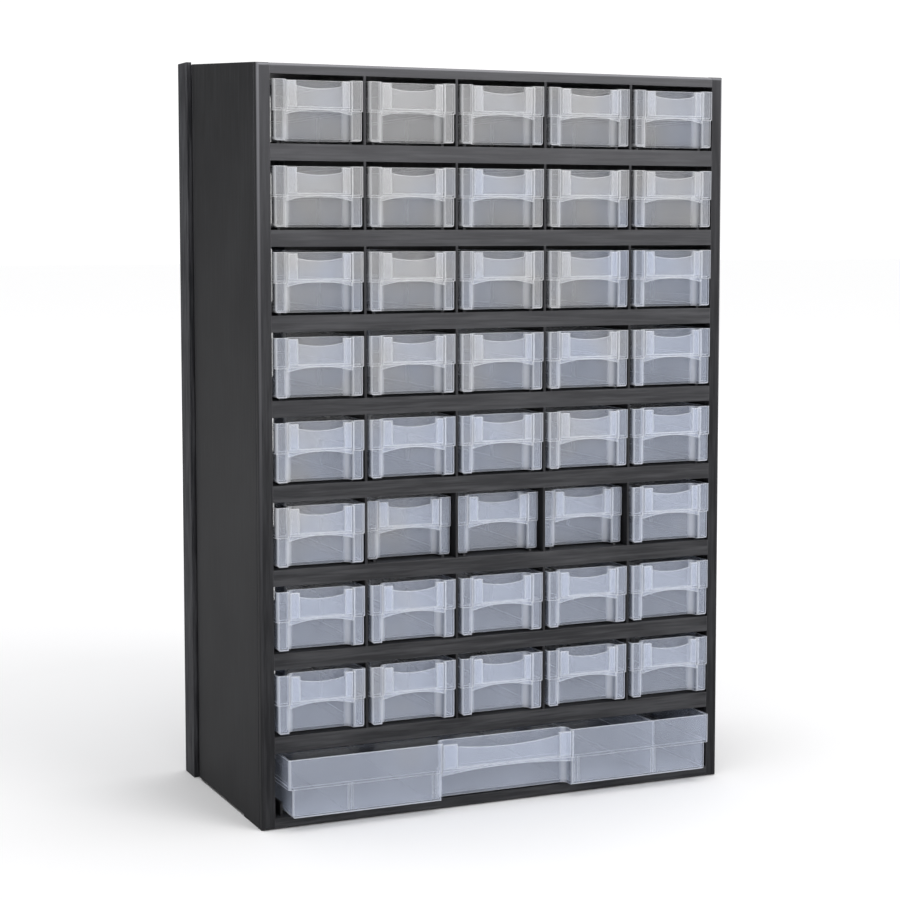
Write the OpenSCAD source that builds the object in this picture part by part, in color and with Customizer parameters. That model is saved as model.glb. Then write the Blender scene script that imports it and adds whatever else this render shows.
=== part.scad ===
// Parts cabinet: a black moulded case with rows of small translucent drawers over one wide drawer.
// Millimetres, +Z up, drawers open towards -Y. The origin is at the middle of the footprint, on the floor.

/* [Small drawers] */
// Number of drawer columns
columns = 5; // [3:1:5]
// Number of rows of small drawers
rows = 8; // [2:1:8]
// Width of a small drawer over its upper half
drawer_w = 55.6; // [45:0.1:75]
// Height of a small drawer to its rim
drawer_h = 35; // [32:0.5:50]
// Depth of every drawer, front to back
drawer_d = 142; // [100:1:200]
// Height of the step between the narrow lower half and the wide upper half
step_z = 17.3; // [12:0.1:20]
// How far the lower half of a small drawer is set in on each side
step_in = 0.8; // [0.4:0.1:1.2]
// Width of each front lobe of a small drawer, beside its finger recess
lobe_w = 8.6; // [7.5:0.1:11]
// Depth of the finger recess in a small drawer
recess_d = 6.2; // [6:0.1:9]
// Sag of a small handle plate's upper edge between the guides
window_sag = 1.6; // [1:0.1:3]
// Width of the label guides of a small drawer
guide_w = 6; // [3:0.5:8]

/* [Wide drawer] */
// Height of the wide drawer to its rim
wide_h = 35; // [32:0.5:50]
// Clearance between the wide drawer and each stile
wide_side_gap = 4.6; // [2:0.1:8]
// Clearance over the wide drawer
wide_top_gap = 2.3; // [1:0.1:4]
// How far the lower half of the wide drawer is set in on each side
wide_step_in = 2.5; // [1.5:0.1:3.5]
// Width of the finger recess of the wide drawer
wide_recess_w = 86; // [60:1:110]
// Depth of the finger recess of the wide drawer
wide_recess_d = 9; // [6:0.5:14]
// Sag of the wide handle plate's upper edge between the guides
wide_window_sag = 2.5; // [1:0.1:4]
// Width of the label guides of the wide drawer
wide_guide_w = 9.5; // [6:0.5:12]
// How far the wide drawer stands open at rest
wide_open = 8; // [0:0.5:40]
// Distance from the wide drawer's recess to the inner divider guides
inner_guide_gap = 5; // [4:0.5:10]
// Place of the outer divider guides between the inner ones and the drawer's side
outer_guide_share = 0.58; // [0.4:0.01:0.7]

/* [Drawer mouldings] */
// Thickness of the drawer walls
wall = 1.2; // [0.8:0.1:1.6]
// Thickness of the drawer floors
floor_t = 1.4; // [1:0.1:2]
// Radius of the inner corners of a finger recess
recess_r = 3.5; // [2:0.1:3.5]
// Radius of the lobes' edges at the mouth of the recess
mouth_r = 2.4; // [1:0.1:2.4]
// Set-back of the lower half of a drawer front
front_step = 0.7; // [0.3:0.1:1]
// Radius of the upright drawer corners
corner_r = 2; // [1.8:0.1:3]
// Radius of the long bottom edges
bottom_r = 2.4; // [1:0.1:2.6]
// Height of a handle plate at its ends
plate_h = 19.7; // [16:0.1:21]
// Thickness of a handle plate
plate_t = 1.2; // [0.8:0.1:1.6]
// Overlap of a handle plate on each lobe
plate_lap = 1; // [0.6:0.1:2]
// Thickness of a label guide
guide_t = 1; // [0.6:0.1:1.4]
// Slot between a label guide and its plate
label_slot = 0.6; // [0.4:0.1:1]
// Height of the label ledge over the plate's lower corners
ledge_up = 3.5; // [3:0.1:5]
// Drop of the label guides below the drawer rim
guide_drop = 0.8; // [0.3:0.1:1.5]
// Rise of the arch in the lower edge of a handle plate
arch_rise = 2.5; // [1:0.1:2.8]
// Lowest point of the plate's upper edge, below the drawer rim
window_low = 5; // [4.5:0.1:6]
// Height of the rear stop tab over the drawer rim
tab_h = 5; // [4:0.1:6]
// Width of the rear stop tab
tab_w = 14; // [8:1:20]

/* [Case] */
// Clearance between a small drawer and each divider
side_gap = 0.84; // [0.4:0.02:1.5]
// Height of the runner ribs that carry the drawers
runner_h = 1.5; // [1:0.1:2]
// Clearance between a drawer floor and its runners
runner_gap = 0.1; // [0.05:0.05:0.3]
// Clearance over a small drawer
top_gap = 3.1; // [2:0.1:3.5]
// How far the drawer fronts stand proud of the case
drawer_proud = 3; // [0:0.5:8]
// Free depth behind the drawers
rear_slack = 10; // [2:0.5:20]
// Height of the rails between the rows
rail_h = 9.6; // [8:0.1:14]
// Height of the rail over the top row
top_rail_h = 6.2; // [5:0.1:10]
// Height of the rail under the wide drawer
bottom_rail_h = 6.6; // [5.5:0.1:10]
// Width of the stiles at the left and right
stile_w = 8; // [6:0.1:12]
// Depth of the rails and stiles, front to back
rail_d = 5; // [3:0.5:8]
// Thickness of the column dividers
divider_t = 1.4; // [1:0.1:2]
// Thickness of the shelves
shelf_t = 1.8; // [1.2:0.1:2.5]
// Thickness of the side, top and bottom panels
panel_t = 2.6; // [2:0.1:3]
// Radius of the outer front edges
edge_r = 2.4; // [1:0.1:2.6]
// Height of the foot under the front
foot_h = 1.3; // [0.8:0.1:2]
// Depth of the foot, front to back
foot_d = 35; // [20:1:60]
// How much higher the rear frame stands than the front
rear_rise = 9.5; // [5:0.5:20]

/* [Rear frame and grille] */
// Depth of the rear frame, front to back
frame_d = 22; // [18:0.5:30]
// How far the rear frame stands proud of the side panels
frame_proud = 2; // [1:0.1:4]
// Radius of the rear frame's outer edges
frame_r = 4; // [2:0.5:5]
// Width of the open groove between the panels and the rear frame
groove_w = 6; // [3:0.5:10]
// Depth that the panels' tongues are set in
tongue_in = 1.3; // [0.8:0.1:1.4]
// Length of tongue that the rear frame covers
tongue_lap = 9; // [5:0.5:11]
// Thickness of the back grille
grille_t = 2.6; // [2:0.1:4]
// Set-back of the grille from the rear face
grille_in = 1.4; // [0.5:0.1:3]
// Width of the seat that the grille rests on
seat_w = 2.2; // [1.5:0.1:2.6]
// Depth of that seat
seat_d = 3; // [2:0.5:4]
// Width of the grille's upright bars
bar_w = 11; // [6:0.5:16]
// Width of the grille's level bars
bar_h = 11; // [6:0.5:14]
// Bore of the wall screw holes
screw_d = 5; // [3:0.1:6]
// Column pitches between the two wall screws
screw_pitches = 2; // [1:1:2]

/* [Hidden] */
$fn = 48;
eps = 0.01;
min_r = 0.4;          // least radius of an inset corner
fit = 0.15;           // clearance between pieces of the case that plug together
rim_t = 2.6;          // wall of the rim round the top
rib_t = 0.8;          // divider guide ribs in the drawers
rib_out = 0.8;
slot_t = 1.6;         // loose divider and its slot
runner_w = 1.6;
upstand_t = 1.4;      // side guides on the shelves and the bottom panel
upstand_h = 8;
ledge = 1.6;          // shelf ledges on the side panels
shadow_w = 1;         // groove behind the stiles
shadow_in = 0.6;
window_r = 4;

// Layout of the front
cell_w = drawer_w + 2 * side_gap;
floor_gap = runner_h + runner_gap;
cell_h = floor_gap + drawer_h + top_gap;
col_pitch = cell_w + divider_t;
row_pitch = cell_h + rail_h;
opening_w = columns * col_pitch - divider_t;
case_w = opening_w + 2 * stile_w;
wide_cell_h = floor_gap + wide_h + wide_top_gap;
case_h = bottom_rail_h + wide_cell_h + rows * row_pitch + top_rail_h;
wide_w = opening_w - 2 * wide_side_gap;
inner_guide_x = wide_recess_w / 2 + inner_guide_gap;
outer_guide_x = inner_guide_x + (wide_w / 2 - inner_guide_x) * outer_guide_share;

// Layout in depth, from the front of the case
drawer_back = drawer_d - drawer_proud;
grille_y = drawer_back + rear_slack;
case_d = grille_y + grille_t + grille_in;
frame_y = case_d - frame_d;
panel_end = frame_y - groove_w;
tongue_end = frame_y + tongue_lap;
shelf_end = tongue_end - fit;
half_lap = shelf_end / 2;
wide_proud = drawer_proud + wide_open;
front_y = -(case_d - wide_proud - plate_front()) / 2;
plate_z = bottom_rail_h - panel_t;
tongue_top = case_h - tongue_in;
screw_z = case_h - top_rail_h - screw_d;

function plate_front() = label_slot + guide_t;
function row_floor(r) = bottom_rail_h + wide_cell_h + (rows - r) * row_pitch + rail_h;
function col_x(c) = (c - (columns + 1) / 2) * col_pitch;
function divider_x(c) = col_x(c) + col_pitch / 2;
function top_at(y) = case_h + rear_rise * y / case_d;
function arc_radius(chord, rise) = (chord * chord / 4 + rise * rise) / (2 * rise);

// Drawers that are pushed in a little further at rest, as [row, column, distance]
pushed = [[6, 2, 7], [6, 3, 7], [6, 4, 7]];
function rest_in(r, c) = let (hit = [for (p = pushed) if (p[0] == r && p[1] == c) p[2]])
    len(hit) > 0 ? min(hit[0], rear_slack - 0.5) : 0;

function drawer_name(r, c) = str("drawer_r", r, "_c", c);
drawer_names = [for (r = [1:rows]) for (c = [1:columns]) drawer_name(r, c)];
shelf_names = [for (r = [1:rows]) str("shelf_", r)];
divider_names = [for (c = [1:columns - 1]) str("column_divider_", c)];

// A box given by its two corners
module block(lo, hi) {
    translate(lo) cube(hi - lo);
}

// A rectangle given by its two corners, with round corners
module round_rect(lo, hi, r) {
    translate([lo.x + r, lo.y]) square([hi.x - lo.x - 2 * r, hi.y - lo.y]);
    translate([lo.x, lo.y + r]) square([hi.x - lo.x, hi.y - lo.y - 2 * r]);
    for (x = [lo.x + r, hi.x - r], y = [lo.y + r, hi.y - r])
        translate([x, y]) circle(r);
}

// Area outside a quarter round of radius r at the origin, for rounding a corner of a profile
module corner_waste(r) {
    difference() {
        translate([-1, -1]) square(r + 1);
        translate([r, r]) circle(r);
    }
}

// Extrudes a profile drawn in Y and Z along X, from x0 to x1
module along_x(x0, x1) {
    translate([x0, 0, 0]) rotate([90, 0, 90]) linear_extrude(x1 - x0) children();
}

// Extrudes a profile drawn in X and Z along Y, from y0 to y1
module along_y(y0, y1) {
    translate([0, y1, 0]) rotate([90, 0, 0]) linear_extrude(y1 - y0) children();
}

// Plan of a drawer whose finger recess is given as [width, depth], set in by in_x at the sides
// and by in_y at the front and back
module drawer_plan(w, recess, in_x, in_y) {
    half = recess.x / 2 + in_y;
    difference() {
        round_rect([-w / 2 + in_x, in_y], [w / 2 - in_x, drawer_d - in_y], max(corner_r - in_y, min_r));
        round_rect([-half, -2 * recess.y], [half, recess.y + in_y], recess_r + in_y);
        for (side = [0, 1]) mirror([side, 0])
            translate([half, in_y]) corner_waste(max(mouth_r - in_y, min_r));
    }
}

// Rounds the long bottom edges and the front and rear bottom edges of a drawer
module bottom_rounding(w, h, in_x) {
    intersection() {
        along_y(-1, drawer_d + 1) round_rect([-w / 2 + in_x, 0], [w / 2 - in_x, h + 2 * bottom_r], bottom_r);
        along_x(-w, w) round_rect([front_step, 0], [drawer_d - front_step, h + 2 * bottom_r], bottom_r / 2);
    }
}

// An open drawer moulding with a step at mid height
module tub(w, h, recess, in_x) {
    difference() {
        union() {
            intersection() {
                linear_extrude(step_z + eps) drawer_plan(w, recess, in_x, front_step);
                bottom_rounding(w, h, in_x);
            }
            translate([0, 0, step_z]) linear_extrude(h - step_z) drawer_plan(w, recess, 0, 0);
        }
        translate([0, 0, floor_t])
            linear_extrude(h) drawer_plan(w, recess, in_x + wall, front_step + wall);
        translate([0, 0, step_z + wall]) linear_extrude(h) drawer_plan(w, recess, wall, wall);
    }
}

// Face of a handle plate, with an arched lower edge and an upper edge that sags between its guides
module plate_face(w, h, guide, sag) {
    arch_radius = arc_radius(w - 2 * plate_lap, arch_rise);
    window = w - 2 * guide;
    sag_radius = arc_radius(window, sag);
    difference() {
        translate([-w / 2, h - plate_h]) square([w, plate_h - guide_drop]);
        translate([0, h - plate_h + arch_rise - arch_radius]) circle(arch_radius, $fn = 120);
        intersection() {
            translate([-window / 2, h - plate_h / 2]) square([window, plate_h]);
            union() {
                translate([-window / 2, h - window_low + sag]) square([window, plate_h]);
                translate([0, h - window_low + sag_radius]) circle(sag_radius, $fn = 120);
            }
        }
    }
}

// Handle plate over the finger recess: the plate, two label guides and the ledge that a label stands on
module handle(recess_w, h, guide, sag) {
    w = recess_w + 2 * plate_lap;
    ledge_z = h - plate_h + ledge_up;
    guide_top = h - guide_drop;
    along_y(0, plate_t) plate_face(w, h, guide, sag);
    for (side = [0, 1]) mirror([side, 0, 0]) {
        block([w / 2 - guide, -plate_front(), ledge_z], [w / 2, -label_slot, guide_top]);
        block([w / 2 - wall, -plate_front(), ledge_z], [w / 2, eps, guide_top]);
    }
    block([-w / 2, -plate_front(), ledge_z - wall / 2], [w / 2, eps, ledge_z + wall / 2]);
}

// Tab on the rear wall that catches behind the rail when the drawer is drawn out
module stop_tab(h) {
    block([-tab_w / 2, drawer_d - wall, h - eps], [tab_w / 2, drawer_d, h + tab_h]);
}

// Pair of upright ribs that hold a divider against the wall y = 0, with their slot at x = 0
module guide_ribs(h) {
    for (side = [-1, 1])
        block([side * (slot_t + rib_t) / 2 - rib_t / 2, -eps, floor_t - eps],
              [side * (slot_t + rib_t) / 2 + rib_t / 2, rib_out, h]);
}

module small_drawer() {
    recess_w = drawer_w - 2 * lobe_w;
    color("lavender") {
        tub(drawer_w, drawer_h, [recess_w, recess_d], step_in);
        handle(recess_w, drawer_h, guide_w, window_sag);
        stop_tab(drawer_h);
        for (side = [0, 1]) mirror([side, 0, 0])
            translate([drawer_w / 2 - step_in - wall, drawer_d / 2, 0]) rotate(90) guide_ribs(step_z);
    }
}

module wide_drawer() {
    color("lavender") {
        tub(wide_w, wide_h, [wide_recess_w, wide_recess_d], wide_step_in);
        handle(wide_recess_w, wide_h, wide_guide_w, wide_window_sag);
        for (side = [-1, 1])
            translate([side * wide_w / 4, 0, 0]) stop_tab(wide_h);
        for (side = [-1, 1], x = [inner_guide_x, outer_guide_x]) {
            translate([side * x, front_step + wall, 0]) guide_ribs(step_z);
            translate([side * x, drawer_d - front_step - wall, 0]) mirror([0, 1, 0]) guide_ribs(step_z);
        }
    }
}

// Loose divider in the right outer guides of the wide drawer
module wide_drawer_divider() {
    inset = front_step + wall + fit;
    color("lavender")
        block([outer_guide_x - slot_t / 2 + fit, inset, floor_t],
              [outer_guide_x + slot_t / 2 - fit, drawer_d - inset, wide_h - wall]);
}

// Plan of the left side: stile, panel, shadow groove, set-in tongue and the rib in its groove
module side_plan() {
    difference() {
        union() {
            square([stile_w, rail_d]);
            square([panel_t, panel_end]);
            translate([tongue_in, 0]) square([panel_t - tongue_in, tongue_end]);
            translate([tongue_in / 2, panel_end + groove_w / 2 - 0.5]) square([tongue_in, 1]);
        }
        corner_waste(edge_r);
        translate([-1, rail_d]) square([1 + shadow_in, shadow_w]);
    }
}

// Outline of the side seen from the left, with the foot, the rising top edge and the tongue
module side_outline() {
    joint_y = frame_y - fit;
    difference() {
        polygon([
            [0, 0], [foot_d, 0], [foot_d, foot_h], [joint_y, foot_h], [joint_y, plate_z],
            [tongue_end, plate_z], [tongue_end, tongue_top], [joint_y, tongue_top],
            [joint_y, top_at(joint_y)], [0, case_h]]);
        corner_waste(edge_r);
        translate([0, case_h]) mirror([0, 1]) corner_waste(edge_r);
    }
}

// Left side panel with its front stile and a ledge under each shelf
module side_panel() {
    color("dimgray") translate([-case_w / 2, 0, 0]) {
        intersection() {
            linear_extrude(case_h + rear_rise) side_plan();
            along_x(-1, stile_w + 1) side_outline();
        }
        for (r = [1:rows]) {
            shelf_z = row_floor(r) - shelf_t;
            block([panel_t - eps, rail_d, shelf_z - ledge], [panel_t + ledge, panel_end, shelf_z]);
        }
    }
}

// Top panel with the rail over the top row
module top_panel() {
    inner = case_w / 2 - panel_t;
    color("dimgray") {
        along_x(-inner, inner) {
            translate([rail_d, case_h - panel_t]) square([panel_end - rail_d, panel_t]);
            translate([rail_d, case_h - panel_t]) square([tongue_end - rail_d, panel_t - tongue_in]);
        }
        along_x(-opening_w / 2, opening_w / 2) difference() {
            translate([0, case_h - top_rail_h]) square([rail_d, top_rail_h]);
            translate([0, case_h]) mirror([0, 1]) corner_waste(edge_r);
        }
    }
}

// Bottom panel with the rail, the hollow foot, and the runners and side guides of the wide drawer
module bottom_panel() {
    inner = case_w / 2 - panel_t;
    guide_x = wide_w / 2 - wide_step_in + side_gap;
    color("dimgray") {
        along_x(-inner, inner) difference() {
            union() {
                translate([rail_d, plate_z]) square([tongue_end - rail_d, panel_t]);
                translate([rail_d, 0]) square([foot_d - rail_d, plate_z + panel_t / 2]);
            }
            translate([rail_d, foot_h]) square([foot_d - rail_d - panel_t, plate_z - foot_h]);
        }
        along_x(-opening_w / 2, opening_w / 2) difference() {
            square([rail_d, bottom_rail_h]);
            corner_waste(edge_r);
        }
        for (side = [0, 1]) mirror([side, 0, 0]) {
            block([guide_x, rail_d, bottom_rail_h - eps],
                  [guide_x + upstand_t, shelf_end, bottom_rail_h + upstand_h]);
            for (x = [inner_guide_x, outer_guide_x]) runner(x, bottom_rail_h);
        }
    }
}

// Rib that a drawer slides on, centred on x and standing on the surface z
module runner(x, z) {
    block([x - runner_w / 2, rail_d, z - eps], [x + runner_w / 2, shelf_end, z + runner_h]);
}

// Shelf under one row of small drawers, with its rail, runners, end upstands and rear slots for the dividers
module shelf(row) {
    z = row_floor(row);
    end_x = case_w / 2 - panel_t - fit;
    runner_x = drawer_w / 2 - step_in - 3 * runner_w;
    color("dimgray") {
        block([-opening_w / 2, 0, z - rail_h], [opening_w / 2, rail_d, z]);
        difference() {
            block([-end_x, rail_d, z - shelf_t], [end_x, shelf_end, z]);
            if (row < rows) for (c = [1:columns - 1])
                block([divider_x(c) - divider_t / 2 - fit, half_lap - fit, z - 2 * shelf_t],
                      [divider_x(c) + divider_t / 2 + fit, shelf_end + 1, z + 1]);
        }
        for (c = [1:columns], side = [-1, 1]) runner(col_x(c) + side * runner_x, z);
        for (side = [0, 1]) mirror([side, 0, 0])
            block([opening_w / 2, rail_d, z - eps], [opening_w / 2 + upstand_t, shelf_end, z + upstand_h]);
    }
}

// Upright divider between two columns, slotted from the front to pass over the shelves
module column_divider(c) {
    color("dimgray") along_x(divider_x(c) - divider_t / 2, divider_x(c) + divider_t / 2) difference() {
        union() {
            translate([0, row_floor(rows)]) square([shelf_end, case_h - top_rail_h - row_floor(rows)]);
            translate([rail_d + fit, row_floor(rows)])
                square([shelf_end - rail_d - fit, case_h - panel_t - fit - row_floor(rows)]);
        }
        for (r = [1:rows - 1]) {
            translate([-1, row_floor(r) - rail_h]) square([rail_d + fit + 1, rail_h]);
            translate([-1, row_floor(r) - shelf_t - fit]) square([half_lap + fit + 1, shelf_t + 2 * fit]);
        }
    }
}

// Rear frame: a sleeve over the tongues, a seat for the grille and the raised rim of the tray top
module rear_frame() {
    outer_x = case_w / 2 + frame_proud;
    inner_x = case_w / 2 - tongue_in + fit;
    top_z = case_h + rear_rise;
    floor_z = tongue_top + fit;
    color("dimgray") difference() {
        intersection() {
            linear_extrude(top_z) difference() {
                translate([-outer_x, frame_y]) square([2 * outer_x, frame_d]);
                for (side = [0, 1]) mirror([side, 0])
                    translate([-outer_x, case_d]) mirror([0, 1]) corner_waste(frame_r);
            }
            along_x(-outer_x - 1, outer_x + 1) difference() {
                translate([frame_y, 0]) square([frame_d, top_z]);
                translate([case_d, 0]) mirror([1, 0]) corner_waste(frame_r);
            }
        }
        block([-inner_x, frame_y - 1, plate_z - fit], [inner_x, grille_y - seat_d, floor_z]);
        block([-inner_x, grille_y, plate_z - fit], [inner_x, case_d + 1, floor_z]);
        block([-inner_x + seat_w, frame_y - 1, plate_z - fit + seat_w], [inner_x - seat_w, case_d + 1, floor_z - seat_w]);
        block([-inner_x, frame_y - 1, floor_z + rim_t], [inner_x, case_d - rim_t, top_z + 1]);
    }
}

// Open back grille with a window behind each drawer and two eyes for wall screws
module back_grille() {
    half_w = case_w / 2 - tongue_in;
    screw_x = screw_pitches * col_pitch / 2;
    color("dimgray") along_y(grille_y, grille_y + grille_t) difference() {
        union() {
            difference() {
                translate([-half_w, plate_z]) square([2 * half_w, tongue_top - plate_z]);
                for (c = [1:columns]) {
                    for (r = [1:rows]) grille_window(c, row_floor(r), cell_h);
                    grille_window(c, bottom_rail_h, wide_cell_h);
                }
            }
            for (side = [-1, 1]) translate([side * screw_x, screw_z]) {
                circle(screw_d);
                translate([-screw_d, 0]) square([2 * screw_d, screw_d + edge_r]);
            }
        }
        for (side = [-1, 1]) translate([side * screw_x, screw_z]) circle(d = screw_d);
    }
}

// Window of the grille behind column c of a cell that starts at z and is h high
module grille_window(c, z, h) {
    half_w = (col_pitch - bar_w) / 2;
    edge = (bar_h - rail_h) / 2;
    round_rect([col_x(c) - half_w, z + edge], [col_x(c) + half_w, z + h - edge], window_r);
}

// Moves a piece from the case's front corner line to the model's origin
module in_case() {
    translate([0, front_y, 0]) children();
}

// Moves a drawer to its resting place
module at_rest(x, z, pull) {
    in_case() translate([x, -drawer_proud - pull, z + floor_gap]) children();
}

in_case() side_panel();  // left_side
in_case() mirror([1, 0, 0]) side_panel();  // right_side
in_case() top_panel();
in_case() bottom_panel();
in_case() rear_frame();
in_case() back_grille();
for (r = [1:rows])
    in_case() shelf(r);
for (c = [1:columns - 1])
    in_case() column_divider(c);
for (r = [1:rows], c = [1:columns])
    at_rest(col_x(c), row_floor(r), -rest_in(r, c)) small_drawer();
at_rest(0, bottom_rail_h, wide_open) wide_drawer();
at_rest(0, bottom_rail_h, wide_open) wide_drawer_divider();
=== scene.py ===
# %% [markdown]
# # A parts cabinet with translucent drawers
#
# The cabinet is a black moulded case with forty small drawers in a grid and one wide drawer at
# the bottom. The solids of the case and of the drawers come ready made, in metres, so this lesson
# is about the looks: the two plastics, the soft studio light, and the camera.

# %% Load the solids
import math

import bpy
from mathutils import Euler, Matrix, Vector


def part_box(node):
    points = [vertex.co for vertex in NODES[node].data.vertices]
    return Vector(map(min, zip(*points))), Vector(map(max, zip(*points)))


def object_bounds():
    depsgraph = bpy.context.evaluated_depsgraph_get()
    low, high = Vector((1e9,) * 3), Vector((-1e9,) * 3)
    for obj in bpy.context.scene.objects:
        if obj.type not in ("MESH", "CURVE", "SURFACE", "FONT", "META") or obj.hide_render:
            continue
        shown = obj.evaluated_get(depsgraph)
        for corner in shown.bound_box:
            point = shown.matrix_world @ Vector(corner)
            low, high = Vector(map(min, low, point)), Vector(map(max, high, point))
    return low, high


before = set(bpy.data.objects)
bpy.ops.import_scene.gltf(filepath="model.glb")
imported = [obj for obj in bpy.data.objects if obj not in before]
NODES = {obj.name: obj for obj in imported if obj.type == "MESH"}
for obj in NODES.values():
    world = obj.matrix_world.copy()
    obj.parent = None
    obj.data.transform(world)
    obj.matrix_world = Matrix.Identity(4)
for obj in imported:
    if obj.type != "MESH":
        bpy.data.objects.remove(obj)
solid_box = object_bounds()
print(len(NODES), "solids, box", [round(v, 4) for corner in solid_box for v in corner])

# %% [markdown]
# ## Sizes to work from
#
# The lights aim at the middle of the case, the floor lies just under it, and the finishes change
# with the height on it, so those sizes are read from the solids. The camera and the lamps have
# places of their own, in metres.

# %% Read the sizes
left_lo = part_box("left_side")[0]
right_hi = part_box("right_side")[1]
frame_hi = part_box("rear_frame")[1]
case_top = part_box("top_panel")[1].z
case_width = right_hi.x - left_lo.x
case_middle = Vector(((left_lo.x + right_hi.x) / 2, (left_lo.y + frame_hi.y) / 2, case_top / 2))
print("case", round(case_width, 4), "wide,", round(case_top, 4), "high")

# %% [markdown]
# ## Pieces by finish
#
# Every piece belongs to one of four groups. The upright pieces and the level pieces of the case
# differ in the way their streaks run, the back is rougher, and the drawers are the frosted ones.

# %% Sort the pieces
DRAWERS = sorted(name for name in NODES if name.startswith("drawer_"))
WIDE = ["wide_drawer", "wide_drawer_divider"]
SIDES = ["left_side", "right_side"]
UPRIGHTS = sorted(name for name in NODES if name.startswith("column_divider_"))
LEVELS = ["top_panel", "bottom_panel"] + sorted(n for n in NODES if n.startswith("shelf_"))
BACK = ["rear_frame", "back_grille"]
print(len(DRAWERS), "small drawers,", len(LEVELS), "level and", len(SIDES + UPRIGHTS), "upright pieces")

# %% [markdown]
# ## The camera
#
# The cabinet is seen from the front left, from a little above its middle, with a long lens. A
# long lens a metre away keeps the rows nearly parallel. The upright edges stay nearly upright,
# because the camera is only pitched down a little and the rest is done by a small lens shift.

# %% Place the camera
SENSOR = 36.0               # millimetres
PICTURE = 900               # picture points across
FOCAL_POINTS = 2035.1       # focal length in picture points
LENS_SHIFT = -0.0578
CAMERA_PLACE = (-0.5256, -1.1810, 0.3503)
PITCH_DOWN, ROLL, TURN = 4.693, 0.037, -23.881      # degrees

camera_data = bpy.data.cameras.new("studio_camera")
camera_data.sensor_width = SENSOR
camera_data.lens = FOCAL_POINTS * SENSOR / PICTURE
camera_data.shift_y = LENS_SHIFT
camera = bpy.data.objects.new("studio_camera", camera_data)
camera.location = Vector(CAMERA_PLACE)
camera.rotation_euler = Euler((math.radians(90 - PITCH_DOWN), math.radians(ROLL), math.radians(TURN)), "XYZ")
bpy.context.scene.collection.objects.link(camera)
bpy.context.scene.camera = camera
print("lens", round(camera_data.lens, 1), "mm, distance", round((camera.location - case_middle).length, 3))

# %% [markdown]
# ## The surround
#
# A white surround gives the bright ground that shows through the drawers. It is brighter to the
# eye than as a lamp, so that the ground is a full white while the black case keeps its depth.

# %% Add the surround
SURROUND_AS_LAMP = 0.42
SURROUND_AS_SEEN = 1.1
WHITE = (1.0, 1.0, 1.0)

world = bpy.data.worlds.new("white_studio")
bpy.context.scene.world = world
world.use_nodes = True
surround = world.node_tree.nodes["Background"]
surround.inputs["Color"].default_value = WHITE + (1.0,)
seen = world.node_tree.nodes.new("ShaderNodeLightPath").outputs["Is Camera Ray"]
strength = world.node_tree.nodes.new("ShaderNodeMapRange")
strength.inputs["To Min"].default_value = SURROUND_AS_LAMP
strength.inputs["To Max"].default_value = SURROUND_AS_SEEN
world.node_tree.links.new(seen, strength.inputs["Value"])
world.node_tree.links.new(strength.outputs["Result"], surround.inputs["Strength"])
bpy.context.scene.view_settings.view_transform = "Standard"
print("surround", SURROUND_AS_LAMP, "as a lamp and", SURROUND_AS_SEEN, "as seen")

# %% [markdown]
# ## The lamps
#
# Black plastic shows little but the lights that it mirrors, so the lights are large and soft. The
# key stands in front and to the right, above the cabinet, which leaves the left side the darker
# one. A wide light overhead fills the top and the floor.


# %% Add the lamps
def soft_light(name, place, size, power, colour):
    """Adds a rectangular lamp that faces the middle of the case. Sizes are metres, power watts."""
    data = bpy.data.lights.new(name, "AREA")
    data.shape = "RECTANGLE"
    data.size, data.size_y = size
    data.energy = power
    data.color = colour
    lamp = bpy.data.objects.new(name, data)
    lamp.location = place
    lamp.rotation_euler = (case_middle - Vector(place)).to_track_quat("-Z", "Y").to_euler()
    bpy.context.scene.collection.objects.link(lamp)


soft_light("key_light", place=(0.85, -1.7, 0.8), size=(1.1, 0.7), power=17, colour=(1.0, 0.99, 0.98))
soft_light("top_light", place=(0.0, -0.2, 2.4), size=(3.0, 3.0), power=60, colour=WHITE)

# %% [markdown]
# ## The floor
#
# One large square is enough. It lies a hair under the foot of the case, so the two never share a
# plane and flicker.

# %% Lay the floor
FLOOR_REACH = 20.0
FLOOR_GAP = 0.0002

floor_mesh = bpy.data.meshes.new("studio_floor")
corners = [(-FLOOR_REACH, -FLOOR_REACH, 0), (FLOOR_REACH, -FLOOR_REACH, 0),
           (FLOOR_REACH, FLOOR_REACH, 0), (-FLOOR_REACH, FLOOR_REACH, 0)]
floor_mesh.from_pydata(corners, [], [(0, 1, 2, 3)])
studio_floor = bpy.data.objects.new("studio_floor", floor_mesh)
studio_floor.location.z = solid_box[0].z - FLOOR_GAP
bpy.context.scene.collection.objects.link(studio_floor)
print("floor at", round(studio_floor.location.z, 5))

# %% [markdown]
# ## Shader maths as Python
#
# A finish is a recipe of numbers that change over the surface. One small class wraps a node
# socket, so that a recipe reads as an expression, and one method adds any other node.


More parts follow.
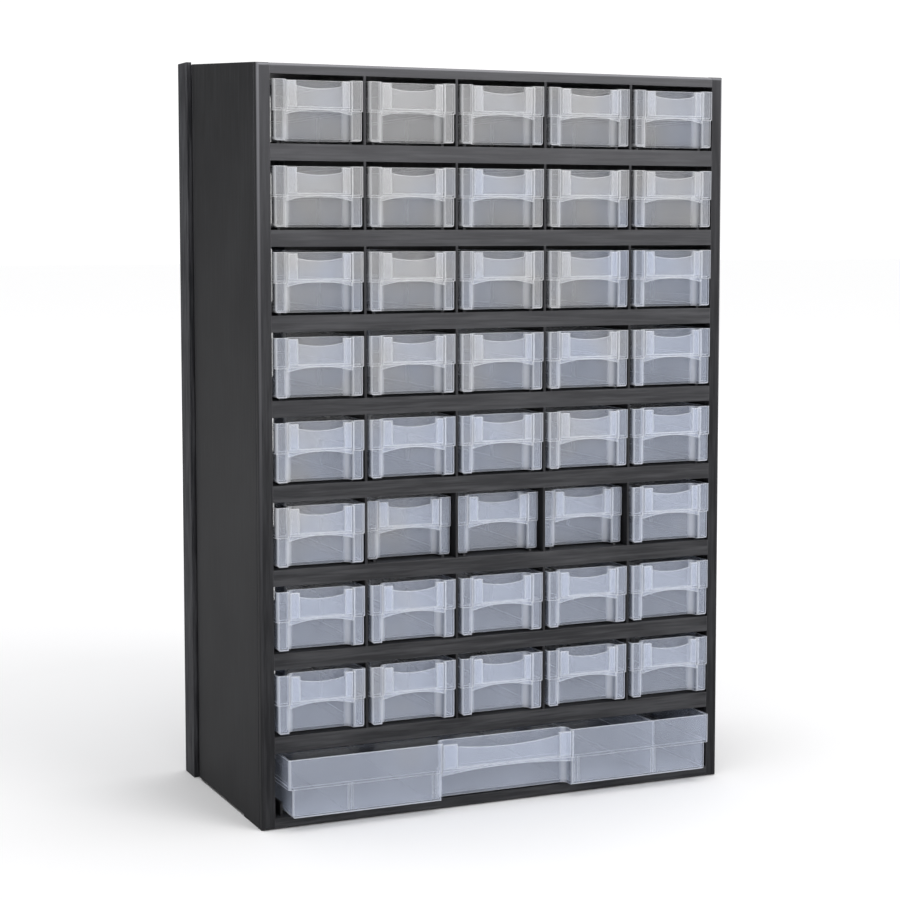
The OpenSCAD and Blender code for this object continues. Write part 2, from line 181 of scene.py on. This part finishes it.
# %% The socket class
class Wire:
    """A node socket that can be used in sums."""

    def __init__(self, tree, socket):
        self.tree, self.socket = tree, socket

    def node(self, kind, settings=None, inputs=None, output=0):
        """Adds any node: its settings first, then the values or wires of its sockets."""
        made = self.tree.nodes.new(kind)
        for key, value in (settings or {}).items():
            setattr(made, key, value)
        for key, value in (inputs or {}).items():
            if isinstance(value, Wire):
                self.tree.links.new(value.socket, made.inputs[key])
            else:
                made.inputs[key].default_value = value
        return Wire(self.tree, made.outputs[output])

    def maths(self, operation, a, b=0.0):
        """Adds a Math node on a and b. This wire only says in which tree."""
        return self.node("ShaderNodeMath", {"operation": operation}, {0: a, 1: b})

    def __add__(self, other):
        return self.maths("ADD", self, other)

    def __sub__(self, other):
        return self.maths("SUBTRACT", self, other)

    def __rsub__(self, other):
        return self.maths("SUBTRACT", other, self)

    def __mul__(self, other):
        return self.maths("MULTIPLY", self, other)

    __radd__ = __add__
    __rmul__ = __mul__

    def clamp(self):
        return self.node("ShaderNodeClamp", None, {"Value": self})

    def absolute(self):
        return self.maths("ABSOLUTE", self)

    def part(self, axis):
        """One of the three numbers of a vector."""
        return self.node("ShaderNodeSeparateXYZ", None, {0: self}, output=axis)

    def noise(self, scale, detail, **more):
        """Noise with this wire as its place."""
        inputs = {"Vector": self, "Scale": scale, "Detail": detail, **more}
        return self.node("ShaderNodeTexNoise", None, inputs)

    def mix(self, low, high):
        """Blends two colours, with this wire as the share of the second."""
        return self.node("ShaderNodeMix", {"data_type": "RGBA"}, {0: self, 6: low, 7: high}, output=2)


print("socket class ready")


# %% Start a finish and feed its sockets
def new_finish(name):
    """A material with an empty Principled surface, and a wire to build its recipe from."""
    finish = bpy.data.materials.new(name)
    finish.use_nodes = True
    surface = finish.node_tree.nodes["Principled BSDF"]
    start = finish.node_tree.nodes.new("ShaderNodeTexCoord")
    return finish, surface, Wire(finish.node_tree, start.outputs["Object"])


def plug(surface, name, value):
    """Feeds one socket of the surface from a wire."""
    value.tree.links.new(value.socket, surface.inputs[name])


print("finish helpers ready")

# %% [markdown]
# ## Edges
#
# The edges of both plastics look different from their faces: lighter on the case, partly wear and
# partly a painted highlight, and a painted bright rim on the drawers. A Bevel node gives the normal
# as if the edge was rounded, so where it leans away from the true normal, an edge is near. The same
# rounded normal also softens the shading there.

# %% Find the edges
BEVEL_SAMPLES = 6
BUMP_DEPTH = 0.0002            # metres, the height of the surface grain on both plastics


def edge_share(place, radius, gain):
    """How close a point is to an edge, and the rounded normal it was read from."""
    rounded = place.node("ShaderNodeBevel", {"samples": BEVEL_SAMPLES}, {"Radius": radius})
    true_normal = place.node("ShaderNodeNewGeometry", output="True Normal")
    along = place.node("ShaderNodeVectorMath", {"operation": "DOT_PRODUCT"},
                       {0: rounded, 1: true_normal}, output="Value")
    return ((1 - along) * gain).clamp(), rounded


print("edge helper ready")

# %% [markdown]
# ## Black moulded plastic
#
# The case is cheap black plastic: nearly black, satin, with fine streaks along the way each
# piece was filled and a little grey dust. Its edges are lighter, partly worn by handling and partly
# a painted highlight. The streaks are noise that is stretched along one axis, so each direction gets
# a finish of its own.
#
# The front faces and the edges also get lighter towards the top, and the uprights towards the
# left. That is painted light. It follows the place on the case and not the camera, so it stays put
# in every view.

# %% Name the shades of the case
# Colour of wear and painted light: worn edges, painted highlights on rounded edges, painted light on front
# faces.
WEAR_AND_SHEEN_EDGE = (0.21, 0.21, 0.225, 1.0)
DARK_STREAK = (0.62, 0.63, 0.70)       # times the shade of the finish
LIGHT_STREAK = (1.7, 1.72, 1.85)
CASE_EDGE_RADIUS = 0.0009
CASE_EDGE_GAIN = 2.5
EDGE_WEAR_AND_SHEEN = 0.45
STREAK_CONTRAST = 3.4
BASE_TONE = 0.38                       # between the dark streak at 0 and the light one at 1
# At the foot of the case: what is left of the painted front light and of the painted edge highlight.
LOW_PAINTED_FRONT_LIGHT = 0.12                  # what is left of the lift at the foot of the case
LOW_EDGE_HIGHLIGHT = 0.04
print("worn edge", WEAR_AND_SHEEN_EDGE[:3])


# %% Make the case finishes
def black_finish(name, stretch, shade, gloss, shine, painted_front_light=0.0, sideways=0.0):
    """Black plastic. The front light is painted light on front faces. Sideways moves more of it to the left,
    per metre.
    """
    finish, surface, place = new_finish(name)

    streaks = place.node("ShaderNodeMapping", None, {"Vector": place, "Scale": stretch}).noise(
        520.0, 3.0, Roughness=0.6)
    cloud = place.noise(14.0, 3.0)
    grit = place.noise(900.0, 2.0)

    edges, rounded = edge_share(place, CASE_EDGE_RADIUS, CASE_EDGE_GAIN)
    facing = place.node("ShaderNodeNewGeometry", output="Normal")
    facing_x, facing_y, facing_z = (facing.part(axis) for axis in "XYZ")
    high_share = (place.part("Z") * (1 / case_top)).clamp()

    # Painted light: front faces get lighter towards the top, and with sideways towards the left.
    front = (facing_y * -1.0).clamp() * (high_share * high_share * high_share + LOW_PAINTED_FRONT_LIGHT)
    painted_front_share = front * (1 - place.part("X") * sideways)
    # Painted highlight on the rounded edges between faces, fading towards the foot.
    rounding = (facing_x * facing_y).absolute() + (facing_z * facing_y).absolute()
    painted_edge_highlight = (rounding * 3.2 - 0.8).clamp() * (high_share * high_share + LOW_EDGE_HIGHLIGHT)
    # Bevel edges: part wear, part painted highlight that fades towards the foot.
    wear_and_sheen = (edges * EDGE_WEAR_AND_SHEEN * (high_share * 0.6 + 0.4) + painted_edge_highlight + painted_front_share * painted_front_light).clamp()

    dust = (facing_z * 0.6).clamp() * cloud
    tone = ((streaks - 0.5) * STREAK_CONTRAST + (cloud - 0.5) + BASE_TONE + dust * 0.5).clamp()
    dark = tuple(c * shade for c in DARK_STREAK) + (1.0,)
    light = tuple(c * shade for c in LIGHT_STREAK) + (1.0,)

    plug(surface, "Base Color", wear_and_sheen.mix(tone.mix(dark, light), WEAR_AND_SHEEN_EDGE))
    plug(surface, "Roughness", gloss + (streaks - 0.5) * 0.35 + dust * 0.2)
    plug(surface, "Normal", place.node("ShaderNodeBump", None, {
        "Strength": 0.25, "Distance": BUMP_DEPTH, "Height": streaks * 0.6 + grit * 0.4, "Normal": rounded}))
    surface.inputs["Specular IOR Level"].default_value = shine
    return finish


ALONG_X = (0.05, 1.0, 1.0)     # a low scale draws the noise out along that axis
ALONG_Z = (1.0, 1.0, 0.05)
case_levels = black_finish("black_plastic_levels", ALONG_X, shade=0.028, gloss=0.42, shine=0.09,
                           painted_front_light=0.24)
# The uprights get a darker shade than the level pieces: painted shade on the sides of the case.
case_sides = black_finish("black_plastic_sides", ALONG_Z, shade=0.018, gloss=0.50, shine=0.05,
                          painted_front_light=0.17, sideways=2.6)
case_back = black_finish("black_plastic_back", ALONG_Z, shade=0.050, gloss=0.55, shine=0.02)
print("case finishes:", case_levels.name, case_sides.name, case_back.name)

# %% [markdown]
# ## Frosted drawer plastic
#
# The drawers are thin frosted plastic. Light goes through a wall, but some is scattered, so a
# wall looks milky, and two walls behind each other look milkier still. The rims and corners are
# the brightest lines: they hide more, and their light colour is a painted highlight for the light
# that travels inside the wall.
#
# No two drawers look quite alike: a slow haze shifts the tint and the veil at random. Both also
# drift across the cabinet as painted light: greyer and a little clearer towards the top, bluer and
# clearer to the right.

# %% Name the shades of the drawers
MILKY_BLUE = (0.60, 0.66, 0.80, 1.0)
MILKY_GREY = (0.58, 0.585, 0.60, 1.0)
# Painted highlight colour for the rims and corners of the drawers.
PAINTED_RIM_HIGHLIGHT = (0.97, 0.98, 1.0, 1.0)
DRAWER_EDGE_RADIUS = 0.0008
DRAWER_EDGE_GAIN = 3.0
print("body between", MILKY_BLUE[:3], "and", MILKY_GREY[:3])


# %% Make the drawer finish
def frosted_finish(name, veil, rim_veil):
    """Frosted plastic. The veil is how much a wall hides, and the rim veil is that at its edges."""
    finish, surface, place = new_finish(name)

    haze = place.noise(22.0, 2.0)
    flow = place.node("ShaderNodeMapping", None, {"Vector": place, "Scale": (1.0, 1.0, 0.25)})
    flow_lines = flow.noise(140.0, 1.0)
    across, high_share = place.part("X"), place.part("Z") * (1 / case_top)

    sharp, rounded = edge_share(place, DRAWER_EDGE_RADIUS, DRAWER_EDGE_GAIN)
    facing = place.node("ShaderNodeNewGeometry", output="True Normal")
    facing_x, facing_y, facing_z = (facing.part(axis) for axis in "XYZ")
    under = (facing_z * -1.0).clamp()
    corner = (facing_x * facing_y).absolute()
    edges = (sharp + corner * 0.7 + under * (1 - under) * 2.0).clamp()

    # Random haze plus painted light: greyer and clearer towards the top, bluer and clearer to the right.
    grey_haze_and_light_drift = ((haze - 0.5) * 3.0 + (high_share - 0.55) * 1.6 - across * 2.0 + 0.2).clamp()
    wall_veil_and_light_drift = veil - high_share * 0.05 - across * 0.14 + (haze - 0.5) * 0.12 + (flow_lines - 0.5) * 0.04

    # Edges take the painted rim highlight colour; they are also more opaque.
    plug(surface, "Base Color", edges.mix(grey_haze_and_light_drift.mix(MILKY_BLUE, MILKY_GREY), PAINTED_RIM_HIGHLIGHT))
    plug(surface, "Alpha", (wall_veil_and_light_drift + edges * (rim_veil - veil)).clamp())
    plug(surface, "Roughness", 0.28 + (haze - 0.5) * 0.2)
    plug(surface, "Normal", place.node("ShaderNodeBump", None, {
        "Strength": 0.06, "Distance": BUMP_DEPTH, "Height": flow_lines, "Normal": rounded}))
    surface.inputs["Specular IOR Level"].default_value = 0.5
    return finish


frosted = frosted_finish("frosted_drawer_plastic", veil=0.24, rim_veil=0.95)
print("drawer finish:", frosted.name)

# %% [markdown]
# ## Dressing the solids
#
# A solid keeps its shape and its place, and only takes a finish. The finish goes into the
# material slots of the solid's mesh.


# %% Give each solid its finish
def dress(names, finish):
    for name in names:
        mesh = NODES[name].data
        mesh.materials.clear()
        mesh.materials.append(finish)
    print(finish.name, "on", len(names), "solids")


dress(SIDES + UPRIGHTS, case_sides)
dress(LEVELS, case_levels)
dress(BACK, case_back)
dress(DRAWERS + WIDE, frosted)

# %% [markdown]
# ## The finish of the floor
#
# The floor is pale, with a faint mottle. Away from the lamps it would turn grey and draw a line
# against the white surround, so it glows a little there, and not at all near the cabinet, where
# the soft shadow of the case stays.

# %% Give the floor its finish
FLOOR_SHADES = (0.90, 0.90, 0.91, 1.0), (0.93, 0.93, 0.94, 1.0)
FLOOR_GLOW_FROM = 0.45         # metres from the middle
FLOOR_GLOW_OVER = 1.6
NO_GLOW, FULL_GLOW = (0.0, 0.0, 0.0, 1.0), (0.6, 0.6, 0.6, 1.0)

floor_finish, floor_surface, floor_place = new_finish("pale_floor")
mottle = floor_place.noise(3.0, 2.0)
plug(floor_surface, "Base Color", mottle.mix(*FLOOR_SHADES))
floor_surface.inputs["Roughness"].default_value = 0.8
away = floor_place.node("ShaderNodeVectorMath", {"operation": "LENGTH"}, {0: floor_place}, output="Value")
glow_share = ((away - FLOOR_GLOW_FROM) * (1 / FLOOR_GLOW_OVER)).clamp()
plug(floor_surface, "Emission Color", glow_share.mix(NO_GLOW, FULL_GLOW))
floor_surface.inputs["Emission Strength"].default_value = 1.0
floor_mesh.materials.append(floor_finish)
print("floor finish:", floor_finish.name)
